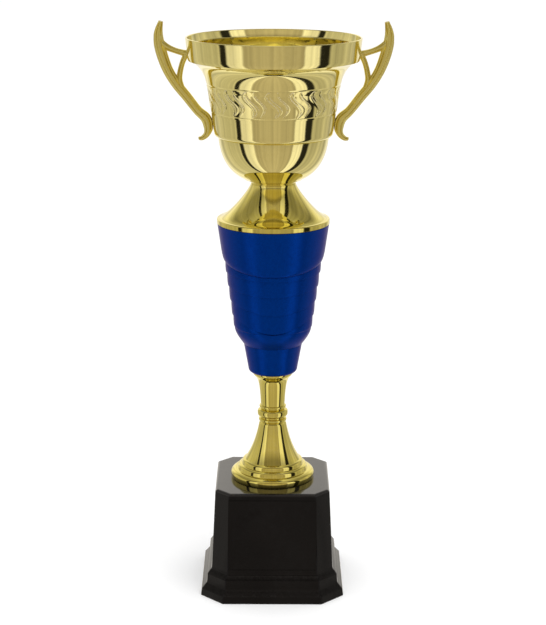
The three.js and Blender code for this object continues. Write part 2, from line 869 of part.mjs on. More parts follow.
const washerSolid = plainWasher(washer.radius, rodHoleRadius, washer.thickness);
trophy.add(storey(lowerNutBase, meshOf('plinth_nut', hexNut(), zincSteel())));
trophy.add(storey(lowerWasherBase, meshOf('plinth_washer', washerSolid, zincSteel())));
trophy.add(storey(stemBase, meshOf('stem', stemSolid(), polishedGold())));
trophy.add(storey(columnBase, meshOf('column', columnSolid(), blueMetallic())));
trophy.add(storey(skirtBase, meshOf('skirt', skirtSolid(), polishedGold())));
trophy.add(storey(bowlBase, meshOf('bowl', bowlSolid(), polishedGold())));
trophy.add(storey(upperWasherBase, meshOf('bowl_washer', washerSolid, zincSteel())));
trophy.add(storey(upperNutBase, meshOf('bowl_nut', hexNut(), zincSteel())));

for (const [side, turn] of [['right', 0], ['left', Math.PI]]) {
  const flank = storey(bowlBase, meshOf(`handle_${side}`, handleSolid(), castGold()));
  for (const seat of handleSeats) {
    flank.add(meshOf(`${seat.name}_screw_${side}`, screwSolid(seat), zincSteel()));
    flank.add(meshOf(`${seat.name}_screw_washer_${side}`, screwWasherSolid(seat), zincSteel()));
  }
  flank.rotation.z = turn;
  trophy.add(flank);
}

export default trophy;
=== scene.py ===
# Two-handled presentation cup: gold bowl and horn-shaped handles, gold skirt, stepped blue
# column, gold stem and black plinth. Lengths are written in millimetres and made in metres.

import json
from math import atan2, cos, exp, hypot, pi, radians, sin, sqrt

import bmesh
import bpy
from mathutils import Matrix, Vector


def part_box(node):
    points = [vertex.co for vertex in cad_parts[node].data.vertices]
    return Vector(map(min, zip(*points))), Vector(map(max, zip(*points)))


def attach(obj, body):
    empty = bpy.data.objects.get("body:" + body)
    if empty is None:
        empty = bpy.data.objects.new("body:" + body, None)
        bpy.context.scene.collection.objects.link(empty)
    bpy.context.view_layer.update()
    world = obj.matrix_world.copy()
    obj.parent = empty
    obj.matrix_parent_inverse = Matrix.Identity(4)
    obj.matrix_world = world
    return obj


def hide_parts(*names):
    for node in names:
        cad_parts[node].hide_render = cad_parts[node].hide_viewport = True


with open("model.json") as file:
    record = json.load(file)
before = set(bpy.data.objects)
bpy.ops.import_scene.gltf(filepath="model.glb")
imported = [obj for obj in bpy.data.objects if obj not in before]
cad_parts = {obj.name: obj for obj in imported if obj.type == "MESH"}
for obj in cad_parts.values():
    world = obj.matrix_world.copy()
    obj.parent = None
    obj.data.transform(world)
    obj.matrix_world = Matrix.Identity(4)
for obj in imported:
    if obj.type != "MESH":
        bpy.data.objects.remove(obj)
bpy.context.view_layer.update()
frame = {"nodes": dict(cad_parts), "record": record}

MM = 0.001


# ------------------------------------------------------------
# Places taken from the frame
# ------------------------------------------------------------

def low(node):
    """Lowest corner of a CAD node, in millimetres."""
    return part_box(node)[0] / MM


def high(node):
    """Highest corner of a CAD node, in millimetres."""
    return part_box(node)[1] / MM


SEAT_GAP = 0.05
ROD_BORE = 3.4

PLINTH_TOP = high("plinth_shell").z
PLINTH_HALF = high("plinth_shell").x
STEM_BASE = low("stem").z
COLUMN_BASE = low("column").z
SKIRT_BASE = high("column").z + SEAT_GAP
BOWL_BASE = low("bowl").z
RIM_TOP = high("bowl").z
RIM_RADIUS = high("bowl").x


# ------------------------------------------------------------
# Values and curves for outlines. A point is (radius, height).
# ------------------------------------------------------------

def between(start, end, share):
    """The value at a share of the way from start to end."""
    return start + (end - start) * share


def smooth_step(low_value, high_value, value):
    """0 below the low value, 1 above the high one and a smooth rise between them."""
    share = min(max((value - low_value) / (high_value - low_value), 0.0), 1.0)
    return share * share * (3 - 2 * share)


def sweep(start, steer_start, steer_end, end, steps):
    """Points of a cubic curve between two places, steered by two more."""
    points = []
    for i in range(steps + 1):
        t = i / steps
        weights = ((1 - t) ** 3, 3 * t * (1 - t) ** 2, 3 * t * t * (1 - t), t ** 3)
        corners = (start, steer_start, steer_end, end)
        points.append(tuple(sum(w * c[k] for w, c in zip(weights, corners)) for k in range(2)))
    return points


def quarter(start, corner, end, steps=6):
    """Points of a quarter ellipse that bulges towards its corner."""
    points = []
    for i in range(steps + 1):
        turn = i / steps * pi / 2
        a, b = 1 - sin(turn), 1 - cos(turn)
        points.append(tuple(
            corner[k] + (start[k] - corner[k]) * a + (end[k] - corner[k]) * b for k in range(2)
        ))
    return points


def arc(centre, radius, begin, end, steps):
    """Points of a circle's arc between two angles in degrees."""
    points = []
    for i in range(steps + 1):
        turn = radians(begin + (end - begin) * i / steps)
        points.append((centre[0] + radius * cos(turn), centre[1] + radius * sin(turn)))
    return points


def radius_at(outline, height):
    """Radius of a rising outline at a height."""
    for (r0, z0), (r1, z1) in zip(outline, outline[1:]):
        if z0 <= height <= z1 and z1 > z0:
            return r0 + (r1 - r0) * (height - z0) / (z1 - z0)
    return outline[0][0] if height < outline[0][1] else outline[-1][0]


def denser(outline, longest):
    """The outline with extra points, so that no step between two is longer than that."""
    points = [outline[0]]
    for (r0, z0), (r1, z1) in zip(outline, outline[1:]):
        pieces = max(1, int(hypot(r1 - r0, z1 - z0) / longest + 0.999))
        for i in range(1, pieces + 1):
            t = i / pieces
            points.append((r0 + (r1 - r0) * t, z0 + (z1 - z0) * t))
    return points


# ------------------------------------------------------------
# Mesh helpers
# ------------------------------------------------------------

def finished(name, points, faces, material, smooth_angle=32):
    """A mesh object in metres from points in millimetres, smooth except at sharp edges."""
    mesh = bpy.data.meshes.new(name)
    mesh.from_pydata([tuple(c * MM for c in p) for p in points], [], faces)
    work = bmesh.new()
    work.from_mesh(mesh)
    bmesh.ops.remove_doubles(work, verts=work.verts, dist=1e-7)
    bmesh.ops.recalc_face_normals(work, faces=work.faces)
    work.to_mesh(mesh)
    work.free()
    mesh.shade_smooth()
    mesh.set_sharp_from_angle(angle=radians(smooth_angle))
    piece = bpy.data.objects.new(name, mesh)
    bpy.context.scene.collection.objects.link(piece)
    piece.data.materials.append(material)
    return piece


def turned(name, outline, material, steps=192, shift=None, smooth_angle=32):
    """A piece turned round Z from a closed outline of (radius, height) points.

    shift(turn, index, radius, height) gives a point's own radius and height in each direction;
    turn is 0 at the front and a quarter turn at the right.
    """
    count = len(outline)
    points, faces = [], []
    for step in range(steps):
        turn = 2 * pi * step / steps
        for index, (radius, height) in enumerate(outline):
            if shift:
                radius, height = shift(turn, index, radius, height)
            points.append((radius * sin(turn), -radius * cos(turn), height))
    for step in range(steps):
        here, following = step * count, (step + 1) % steps * count
        for index in range(count):
            after = (index + 1) % count
            faces.append((here + index, here + after, following + after, following + index))
    return finished(name, points, faces, material, smooth_angle)


def hand_over(piece, slot, *nodes):
    """Puts a piece in the CAD nodes' place."""
    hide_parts(*nodes)
    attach(piece, "root")
    return piece


# ------------------------------------------------------------
# Shader helpers
# ------------------------------------------------------------

class Nodes:
    """A short way to add and link nodes in one tree."""

    def __init__(self, tree):
        self.tree = tree
        self.column = 0

    def add(self, kind, settings=None, **inputs):
        """Adds a node and feeds its inputs; an underscore in a name stands for a space."""
        node = self.tree.nodes.new(kind)
        node.location = (self.column * 180, 0)
        self.column += 1
        for key, value in (settings or {}).items():
            setattr(node, key, value)
        for key, value in inputs.items():
            self.feed(node, key.replace("_", " "), value)
        return node

    def feed(self, node, socket, value):
        """Links or sets an input, given by its name or number."""
        target = node.inputs[int(socket)] if socket.isdigit() else node.inputs[socket]
        if isinstance(value, bpy.types.NodeSocket):
            self.tree.links.new(value, target)
        else:
            target.default_value = value

    def math(self, operation, *values):
        """The result of a sum on values."""
        node = self.add("ShaderNodeMath", {"operation": operation})
        for index, value in enumerate(values):
            self.feed(node, str(index), value)
        return node.outputs[0]

    def mix(self, share, first, second):
        """Mixes two colours."""
        node = self.add("ShaderNodeMix", {"data_type": "RGBA"})
        self.feed(node, "0", share)
        self.feed(node, "6", first)
        self.feed(node, "7", second)
        return node.outputs[2]

    def remap(self, value, from_low, from_high, to_low, to_high):
        """A value moved from one range to another and kept inside it."""
        node = self.add("ShaderNodeMapRange", {"clamp": True})
        for index, entry in enumerate((value, from_low, from_high, to_low, to_high)):
            self.feed(node, str(index), entry)
        return node.outputs[0]


def new_group(name, inputs, outputs):
    """An empty node group. Inputs map a name to its default; outputs map a name to its kind."""
    tree = bpy.data.node_groups.new(name, "ShaderNodeTree")
    for label, default in inputs.items():
        socket = tree.interface.new_socket(label, in_out="INPUT", socket_type="NodeSocketFloat")
        socket.default_value = default
    for label, kind in outputs.items():
        tree.interface.new_socket(label, in_out="OUTPUT", socket_type=kind)
    nodes = Nodes(tree)
    return tree, nodes, nodes.add("NodeGroupInput").outputs, nodes.add("NodeGroupOutput")


def handling_haze():
    """Faint cloudy smears of handling, as a mask."""
    tree, nodes, given, result = new_group(
        "Handling Haze", {"Size": 60.0, "Sharpness": 0.5}, {"Mask": "NodeSocketFloat"},
    )
    place = nodes.add("ShaderNodeTexCoord").outputs["Object"]
    broad = nodes.add("ShaderNodeTexNoise", Vector=place, Scale=given["Size"], Detail=4.0)
    fine = nodes.add("ShaderNodeTexNoise", Vector=place, Detail=2.0)
    nodes.feed(fine, "Scale", nodes.math("MULTIPLY", given["Size"], 7.0))
    both = nodes.math("MULTIPLY", broad.outputs["Fac"], fine.outputs["Fac"])
    edge = nodes.math("MULTIPLY", given["Sharpness"], 0.2)
    mask = nodes.remap(both, nodes.math("SUBTRACT", 0.34, edge), 0.42, 0.0, 1.0)
    nodes.feed(result, "Mask", mask)
    return tree


def surface_ripple():
    """Very shallow waves, as in plated or moulded surfaces, as a height."""
    tree, nodes, given, result = new_group(
        "Surface Ripple", {"Size": 90.0, "Grain": 1500.0, "Grain Share": 0.2},
        {"Height": "NodeSocketFloat"},
    )
    place = nodes.add("ShaderNodeTexCoord").outputs["Object"]
    wave = nodes.add("ShaderNodeTexNoise", Vector=place, Scale=given["Size"], Detail=2.0)
    grain = nodes.add("ShaderNodeTexNoise", Vector=place, Scale=given["Grain"], Detail=1.0)
    share = nodes.math("MULTIPLY", grain.outputs["Fac"], given["Grain Share"])
    nodes.feed(result, "Height", nodes.math("ADD", wave.outputs["Fac"], share))
    return tree


def settled_dust():
    """Where dust settles: level faces that look up, broken up by noise, as a mask."""
    tree, nodes, given, result = new_group(
        "Settled Dust", {"Amount": 0.2, "Size": 400.0}, {"Mask": "NodeSocketFloat"},
    )
    normal = nodes.add("ShaderNodeNewGeometry").outputs["Normal"]
    up = nodes.add("ShaderNodeSeparateXYZ", Vector=normal).outputs["Z"]
    place = nodes.add("ShaderNodeTexCoord").outputs["Object"]
    noise = nodes.add("ShaderNodeTexNoise", Vector=place, Scale=given["Size"], Detail=5.0)
    level = nodes.remap(up, 0.55, 1.0, 0.0, 1.0)
    broken = nodes.remap(noise.outputs["Fac"], 0.42, 0.68, 0.0, 1.0)
    mask = nodes.math("MULTIPLY", nodes.math("MULTIPLY", level, broken), given["Amount"])
    nodes.feed(result, "Mask", mask)
    return tree


def metallic_flake():
    """Tiny flakes under a lacquer: a brightness for each flake and a height."""
    tree, nodes, given, result = new_group(
        "Metallic Flake", {"Size": 2600.0, "Spread": 0.5},
        {"Brightness": "NodeSocketFloat", "Height": "NodeSocketFloat"},
    )
    place = nodes.add("ShaderNodeTexCoord").outputs["Object"]
    cells = nodes.add("ShaderNodeTexVoronoi", Vector=place, Scale=given["Size"])
    value = nodes.add("ShaderNodeSeparateColor", Color=cells.outputs["Color"]).outputs["Red"]
    centred = nodes.math("SUBTRACT", value, 0.5)
    spread = nodes.math("MULTIPLY", centred, given["Spread"])
    nodes.feed(result, "Brightness", nodes.math("ADD", spread, 1.0))
    nodes.feed(result, "Height", value)
    return tree


HAZE = handling_haze()
RIPPLE = surface_ripple()
DUST = settled_dust()
FLAKE = metallic_flake()


def new_material(name, **settings):
    """A material with one Principled shader. Constant values go straight onto its sockets."""
    material = bpy.data.materials.new(name)
    material.use_nodes = True
    material.node_tree.nodes.clear()
    nodes = Nodes(material.node_tree)
    shader = nodes.add("ShaderNodeBsdfPrincipled")
    output = nodes.add("ShaderNodeOutputMaterial", Surface=shader.outputs["BSDF"])
    output.is_active_output = True
    for key, value in settings.items():
        nodes.feed(shader, key.replace("_", " "), value)
    return material, nodes, shader


def group(nodes, tree, **inputs):
    """Places a node group and sets its inputs."""
    node = nodes.add("ShaderNodeGroup", {"node_tree": tree})
    for key, value in inputs.items():
        nodes.feed(node, key.replace("_", " "), value)
    return node.outputs


def bump(nodes, height, distance, strength=1.0):
    """A normal from a height; distance is in metres."""
    node = nodes.add("ShaderNodeBump", Height=height, Strength=strength, Distance=distance)
    return node.outputs["Normal"]


# ------------------------------------------------------------
# Materials
# ------------------------------------------------------------

# Gold of the pressed bowl, of smears on it, of the turned pieces, of the castings and of the relief.
GOLD = (0.86, 0.77, 0.29, 1)
GOLD_DEEP = (0.79, 0.69, 0.24, 1)
TURNED_GOLD = (0.76, 0.655, 0.14, 1)
CAST_GOLD = (0.76, 0.66, 0.19, 1)
PALE_GOLD = (0.92, 0.85, 0.47, 1)


def gold_plate(name, roughness, ripple=0.00004, haze_share=0.05, stipple=0.0, colour=GOLD):
    """Bright gold-coloured plating, with a stippled ground if a depth is given for it."""
    material, nodes, shader = new_material(
        name, Metallic=1.0, Coat_Weight=0.25, Coat_Roughness=0.03, Coat_IOR=1.45,
    )
    haze = group(nodes, HAZE, Size=55.0, Sharpness=0.6)["Mask"]
    nodes.feed(shader, "Base Color", nodes.mix(nodes.math("MULTIPLY", haze, 0.35), colour, GOLD_DEEP))
    nodes.feed(shader, "Roughness", nodes.remap(haze, 0.0, 1.0, roughness, roughness + haze_share))
    height = group(nodes, RIPPLE, Size=70.0, Grain=900.0, Grain_Share=0.05)["Height"]
    normal = bump(nodes, height, ripple)
    if stipple:
        grains = group(nodes, RIPPLE, Size=1100.0, Grain=2600.0, Grain_Share=0.5)["Height"]
        pressed = nodes.add("ShaderNodeBump", Height=grains, Distance=stipple, Normal=normal)
        normal = pressed.outputs["Normal"]
    nodes.feed(shader, "Normal", normal)
    return material


def blue_lacquer():
    """Deep blue satin lacquer with metallic flakes in it."""
    material, nodes, shader = new_material(
        "blue_lacquer", Metallic=0.74, Coat_Roughness=0.2, Coat_IOR=1.45, Specular_IOR_Level=0.03,
        Specular_Tint=(0.8, 0.66, 0.76, 1),
    )
    flake = group(nodes, FLAKE, Size=3200.0, Spread=0.4)
    haze = group(nodes, HAZE, Size=40.0, Sharpness=0.4)["Mask"]
    dust = group(nodes, DUST, Amount=0.05, Size=500.0)["Mask"]
    base = nodes.mix(haze, (0.0001, 0.033, 0.235, 1), (0.0002, 0.03, 0.22, 1))
    lit = nodes.add("ShaderNodeVectorMath", {"operation": "SCALE"})
    nodes.feed(lit, "0", base)
    nodes.feed(lit, "Scale", flake["Brightness"])
    nodes.feed(shader, "Base Color", nodes.mix(dust, lit.outputs["Vector"], (0.3, 0.3, 0.32, 1)))
    nodes.feed(shader, "Roughness", nodes.remap(haze, 0.0, 1.0, 0.32, 0.36))
    nodes.feed(shader, "Coat Weight", nodes.remap(haze, 0.0, 1.0, 0.012, 0.006))
    nodes.feed(shader, "Normal", bump(nodes, flake["Height"], 0.00001, 0.5))
    return material


def black_moulding():
    """Polished black moulding with flow marks and dust, glossier on its top and rounded top edge."""
    material, nodes, shader = new_material(
        "black_moulding", Metallic=0.0, IOR=1.5, Specular_IOR_Level=0.5,
        Specular_Tint=(0.37, 0.365, 0.36, 1), Coat_Roughness=0.06, Coat_IOR=1.5,
    )
    geometry = nodes.add("ShaderNodeNewGeometry").outputs
    up = nodes.add("ShaderNodeSeparateXYZ", Vector=geometry["Normal"]).outputs["Z"]
    rise = nodes.add("ShaderNodeSeparateXYZ", Vector=geometry["Position"]).outputs["Z"]
    near_top = nodes.remap(rise, (PLINTH_TOP - 4) * MM, (PLINTH_TOP - 3) * MM, 0.0, 0.8)
    rounded = nodes.math("MULTIPLY", nodes.remap(up, 0.15, 0.5, 0.0, 1.0), near_top)
    polish = nodes.math("MULTIPLY", rounded, nodes.remap(up, 0.8, 0.97, 1.0, 0.36))
    nodes.feed(shader, "Coat Weight", polish)
    haze = group(nodes, HAZE, Size=30.0, Sharpness=0.5)["Mask"]
    dust = group(nodes, DUST, Amount=0.05, Size=700.0)["Mask"]
    base = nodes.mix(haze, (0.0022, 0.0018, 0.0016, 1), (0.0032, 0.0028, 0.0026, 1))
    nodes.feed(shader, "Base Color", nodes.mix(dust, base, (0.2, 0.19, 0.18, 1)))
    nodes.feed(shader, "Roughness", nodes.remap(haze, 0.0, 1.0, 0.07, 0.13))
    height = group(nodes, RIPPLE, Size=45.0, Grain=1800.0, Grain_Share=0.06)["Height"]
    nodes.feed(shader, "Normal", bump(nodes, height, 0.00006))
    return material


def zinc_steel():
    """Bright zinc plating with fine tool marks."""
    material, nodes, shader = new_material("zinc_steel", Metallic=1.0)
    haze = group(nodes, HAZE, Size=220.0, Sharpness=0.7)["Mask"]
    nodes.feed(shader, "Base Color", nodes.mix(haze, (0.62, 0.63, 0.66, 1), (0.5, 0.5, 0.48, 1)))
    nodes.feed(shader, "Roughness", nodes.remap(haze, 0.0, 1.0, 0.24, 0.42))
    height = group(nodes, RIPPLE, Size=800.0, Grain=4000.0, Grain_Share=0.4)["Height"]
    nodes.feed(shader, "Normal", bump(nodes, height, 0.00003))
    return material


def cast_cement():
    """Rough grey cast cement with small pits."""
    material, nodes, shader = new_material("cast_cement", Metallic=0.0)
    haze = group(nodes, HAZE, Size=120.0, Sharpness=0.2)["Mask"]
    height = group(nodes, RIPPLE, Size=500.0, Grain=2500.0, Grain_Share=0.8)["Height"]
    nodes.feed(shader, "Base Color", nodes.mix(haze, (0.42, 0.40, 0.37, 1), (0.3, 0.29, 0.27, 1)))
    nodes.feed(shader, "Roughness", nodes.remap(haze, 0.0, 1.0, 0.85, 0.95))
    nodes.feed(shader, "Normal", bump(nodes, height, 0.0005))
    return material


def fibre_board():
    """Brown pressed board with short fibres."""
    material, nodes, shader = new_material("fibre_board", Metallic=0.0)
    haze = group(nodes, HAZE, Size=500.0, Sharpness=0.9)["Mask"]
    height = group(nodes, RIPPLE, Size=900.0, Grain=5000.0, Grain_Share=0.6)["Height"]
    nodes.feed(shader, "Base Color", nodes.mix(haze, (0.15, 0.09, 0.05, 1), (0.24, 0.16, 0.1, 1)))
    nodes.feed(shader, "Roughness", nodes.remap(haze, 0.0, 1.0, 0.75, 0.9))
    nodes.feed(shader, "Normal", bump(nodes, height, 0.0002))
    return material


def black_felt():
    """Matted black felt."""
    material, nodes, shader = new_material(
        "black_felt", Metallic=0.0, Sheen_Weight=0.4, Sheen_Roughness=0.6,
    )
    haze = group(nodes, HAZE, Size=700.0, Sharpness=0.3)["Mask"]
    height = group(nodes, RIPPLE, Size=1400.0, Grain=6000.0, Grain_Share=0.9)["Height"]
    nodes.feed(shader, "Base Color", nodes.mix(haze, (0.012, 0.012, 0.014, 1), (0.03, 0.03, 0.034, 1)))
    nodes.feed(shader, "Roughness", nodes.remap(haze, 0.0, 1.0, 0.9, 1.0))
    nodes.feed(shader, "Normal", bump(nodes, height, 0.0006))
    return material


GOLD_PLATE = gold_plate("gold_plate", 0.045)
GOLD_TURNED = gold_plate("gold_turned", 0.05, colour=TURNED_GOLD)
GOLD_STIPPLED = gold_plate("gold_stippled", 0.48, stipple=0.0001, colour=PALE_GOLD)
GOLD_CASTING = gold_plate("gold_casting", 0.05, ripple=0.00002, haze_share=0.06, colour=CAST_GOLD)
BLUE_LACQUER = blue_lacquer()
BLACK_MOULDING = black_moulding()
ZINC_STEEL = zinc_steel()


# ------------------------------------------------------------
# Plinth
# ------------------------------------------------------------

PLINTH_TOP_HALF = 38.1
PLINTH_TOP_CUT = 8.8
PLINTH_CUT_GROWTH = 0.55
PLINTH_BODY_TOP = 40.4
PLINTH_BODY_FOOT = 43.1
PLINTH_BODY_RISE = 21.1
PLINTH_EDGE = 2.0
PLINTH_WALL = 2.6
PLINTH_ROOF = 3.2
PLINTH_SHOULDER = 4.0
PLINTH_HOLLOW_RISE = 21.0
COVER_RECESS = 3.45
CORNER_ROUND = 0.6
TOP_STRIP = 0.4
PANEL_HALF = 30.8
PANEL_FOOT = 23.0
PANEL_TOP = 74.0
GROOVE_WIDTH = 0.8
GROOVE_CUT = 0.9


def plinth_levels():
    """Half width and height of the plinth's outside, from the floor up."""
    return [
        (PLINTH_HALF - 0.3, 0.0),
        (PLINTH_HALF, 0.5),
        (PLINTH_HALF - 0.6, 5.2),
        (PLINTH_HALF - 1.2, 5.7),
        (PLINTH_HALF - 3.2, 8.2),
        *sweep((47.4, 8.4), (46.3, 8.8), (46.3, 12.0), (46.2, 15.6), 6),
        (45.8, 16.1),
        *sweep((44.3, 18.3), (43.6, 18.6), (43.1, 19.4), (43.0, PLINTH_BODY_RISE), 5),
        (PLINTH_BODY_TOP, PLINTH_TOP - PLINTH_EDGE - 0.2),
        *quarter(
            (PLINTH_BODY_TOP, PLINTH_TOP - PLINTH_EDGE), (PLINTH_BODY_TOP, PLINTH_TOP),
            (PLINTH_TOP_HALF, PLINTH_TOP), 6,
        ),
    ]


def plinth_corners(half):
    """The corners of a square with cut corners, each cut rounded a little where it begins."""
    cut = PLINTH_TOP_CUT + (half - PLINTH_TOP_HALF) * PLINTH_CUT_GROWTH
    if half < PLINTH_TOP_HALF:
        cut = half * PLINTH_TOP_CUT / PLINTH_TOP_HALF
    flat = half - cut
    round_off = min(CORNER_ROUND, flat * 0.1)
    slant = round_off * sqrt(0.5)
    side = [
        (flat - round_off, -half), (flat - round_off * 0.3, -half + round_off * 0.08),
        (flat + slant * 0.3, -half + slant * 0.3 + round_off * 0.06),
        (flat + slant, -half + slant),
        (half - slant, -flat - slant), (half - slant * 0.3 - round_off * 0.06, -flat - slant * 0.3),
        (half - round_off * 0.08, -flat + round_off * 0.3), (half, -flat + round_off),
    ]
    corners = []
    for quarter_turn in range(4):
        c, s = round(cos(quarter_turn * pi / 2)), round(sin(quarter_turn * pi / 2))
        corners += [(x * c - y * s, x * s + y * c) for x, y in side]
    return corners


def plinth_piece():
    """The hollow plinth: its outside, the top with the rod's bore, and its inside."""
    body_inner = PLINTH_BODY_FOOT - PLINTH_WALL
    foot_inner = PLINTH_HALF - PLINTH_WALL
    roof = PLINTH_TOP - PLINTH_ROOF
    levels = plinth_levels() + [
        (PLINTH_TOP_HALF - TOP_STRIP, PLINTH_TOP), (ROD_BORE, PLINTH_TOP), (ROD_BORE, roof),
        (body_inner - PLINTH_SHOULDER, roof), (body_inner, PLINTH_HOLLOW_RISE),
        (body_inner, COVER_RECESS), (foot_inner, COVER_RECESS), (foot_inner, 0.0),
    ]
    points, faces = [], []
    for half, height in levels:
        points += [(x, y, height) for x, y in plinth_corners(half)]
    around = len(plinth_corners(PLINTH_HALF))
    for level in range(len(levels)):
        here, above = level * around, (level + 1) % len(levels) * around
        for index in range(around):
            after = (index + 1) % around
            faces.append((here + index, here + after, above + after, above + index))
    piece = finished("plinth", points, faces, BLACK_MOULDING, 24)
    groove_panel(piece)
    return hand_over(piece, "black_plastic", "plinth_shell")


def groove_panel(piece):
    """Cuts a fine groove round the flat panel on the front of the tapered body."""
    taper = PLINTH_BODY_FOOT - PLINTH_BODY_TOP
    slope = atan2(taper, PLINTH_TOP - PLINTH_EDGE - PLINTH_BODY_RISE)

    def on_front(x, z):
        """A place on the body's front face."""
        return Vector((x, (z - PLINTH_BODY_RISE) * sin(slope) - PLINTH_BODY_FOOT, z))

    upright = (GROOVE_WIDTH, GROOVE_CUT, PANEL_TOP - PANEL_FOOT + GROOVE_WIDTH)
    level = (2 * PANEL_HALF + GROOVE_WIDTH, GROOVE_CUT, GROOVE_WIDTH)
    for side in (-1, 1):
        cut_box(piece, on_front(side * PANEL_HALF, (PANEL_FOOT + PANEL_TOP) / 2), upright, slope)
    for rise in (PANEL_FOOT, PANEL_TOP):
        cut_box(piece, on_front(0, rise), level, slope)


def cut_box(piece, place, size, slope):
    """Cuts a box out of a piece; the box leans back by the slope."""
    work = bmesh.new()
    bmesh.ops.create_cube(work, size=1.0)
    stretch = Matrix.Diagonal((*(length * MM for length in size), 1.0))
    leaning = Matrix.Translation(place * MM) @ Matrix.Rotation(-slope, 4, "X")
    bmesh.ops.transform(work, matrix=leaning @ stretch, verts=work.verts)
    box = bpy.data.meshes.new("groove_tool")
    work.to_mesh(box)
    work.free()
    tool = bpy.data.objects.new("groove_tool", box)
    bpy.context.scene.collection.objects.link(tool)
    cut = piece.modifiers.new("groove", "BOOLEAN")
    cut.operation = "DIFFERENCE"
    cut.solver = "EXACT"
    cut.object = tool
    settled = piece.evaluated_get(bpy.context.evaluated_depsgraph_get())
    shaped = bpy.data.meshes.new_from_object(settled)
    piece.modifiers.clear()
    piece.data = shaped
    bpy.data.objects.remove(tool)


# ------------------------------------------------------------
# Stem
# ------------------------------------------------------------

STEM_RINGS = [
    # lowest ring first: widest radius, its rise, radius of the groove above it, its rise
    (29.8, 3.3, 25.2, 6.1),
    (24.7, 7.8, 22.2, 9.9),
    (21.8, 11.1, 19.6, 13.6),
]
STEM_BEADS = [
    # lowest bead first: radius, rise of its middle, half height, depth of the lines beside it
    (9.95, 43.0, 1.3, 0.35),
    (10.85, 48.0, 3.0, 0.5),
    (9.5, 52.8, 1.0, 0.35),
]
STEM_BEAD_EDGE = 8.9
STEM_BEAD_FULLNESS = 3.4
STEM_NECK = (8.64, 54.9)
STEM_NECK_STEERS = ((STEM_NECK[0] + 0.9, 75.5), (11.8, 73.3))
STEM_BORE = 4.6
STEM_TOP_RADIUS = 14.2
STEM_TOP_LIP = 76.9
STEM_FLARE = (9.65, 40.4)


def stem_outline():
    """The stem's outside from its foot to the column's seat."""
    outline = [(STEM_RINGS[0][0] - 1.0, 0.0), (STEM_RINGS[0][0] - 0.4, 0.0)]
    for widest, rise, groove_radius, groove_rise in STEM_RINGS:
        start = outline[-1]
        outline += quarter(start, (widest, start[1]), (widest, rise), 7)[1:]
        outline += quarter((widest, rise), (widest, groove_rise), (groove_radius, groove_rise), 9)[1:]
    foot = outline[-1]
    radius, rise = STEM_FLARE
    outline += sweep(foot, (radius + 3.4, foot[1] + 10), (radius + 1.4, rise - 6.4), STEM_FLARE, 28)[1:]
    for radius, rise, half, line_depth in STEM_BEADS:
        for t in [i / 6 for i in range(-6, 7)]:
            drop = (radius - STEM_BEAD_EDGE) * abs(t) ** STEM_BEAD_FULLNESS
            if abs(t) == 1:
                drop += line_depth
            outline.append((radius - drop, rise + half * t))
    top = STEM_TOP_LIP
    outline += sweep(STEM_NECK, *STEM_NECK_STEERS, (14.0, top), 24)
    outline += [(STEM_TOP_RADIUS, top + 0.3), (STEM_TOP_RADIUS, high("stem").z - STEM_BASE)]
    return outline


def stem_piece():
    """The stem, hollow from its foot to its neck."""
    top = high("stem").z - STEM_BASE
    hollow = [(STEM_BORE, top), (STEM_BORE, 37.0), (8.0, 20.0), (22.0, 6.0), (25.0, 0.0)]
    outline = [(r, z + STEM_BASE) for r, z in stem_outline() + hollow]
    piece = turned("stem_turned", outline, GOLD_TURNED, 192, smooth_angle=40)
    return hand_over(piece, "polished_gold", "stem")


# ------------------------------------------------------------
# Column
# ------------------------------------------------------------

COLUMN_FOOT = 14.5
COLUMN_FOOT_ROUND = 3.3
COLUMN_LOW_RADIUS = 17.4
COLUMN_LOW_HEIGHT = 21.1
COLUMN_LOW_TOP = 20.6
COLUMN_MID_EDGE = 0.35
COLUMN_SHOULDER = (27.1, 33.4)
COLUMN_SHOULDER_STEERS = ((22.3, 23.6), (26.9, 28.6))
COLUMN_TOP_RISE = 75.6
COLUMN_MID_TOP = 33.0
COLUMN_TOP_FOOT = 34.3
COLUMN_TOP_RADIUS = 38.9
COLUMN_LIP = 0.42
COLUMN_LINES = [
    # where each line runs at the front, and how far it climbs towards the sides
    (33.9, 9.0),
    (47.4, 6.0),
    (60.6, 3.0),
    (72.2, 1.3),
]
COLUMN_LINE_POWER = 1.65
COLUMN_LINE_HALF = 0.25
COLUMN_WALL = 2.0
COLUMN_FLOOR = 2.4
# The top tier's rounded foot: its height at the front, and how much taller it is at the sides.
COLUMN_EDGE_ROUND = (2.5, 5.5)
COLUMN_TOP_CLIMB = 5.9
COLUMN_TOP_POWER = 2.5
COLUMN_HEIGHT = high("column").z - COLUMN_BASE


def mid_wall(height):
    """Radius of the middle tier's wall at a height."""
    radius, rise = COLUMN_SHOULDER
    return between(radius, COLUMN_MID_TOP, (height - rise) / (COLUMN_TOP_RISE - rise))


def top_wall(height):
    """Radius of the top tier's wall at a height."""
    share = (height - COLUMN_TOP_RISE) / (COLUMN_HEIGHT - COLUMN_TOP_RISE)
    return between(COLUMN_TOP_FOOT, COLUMN_TOP_RADIUS, share)


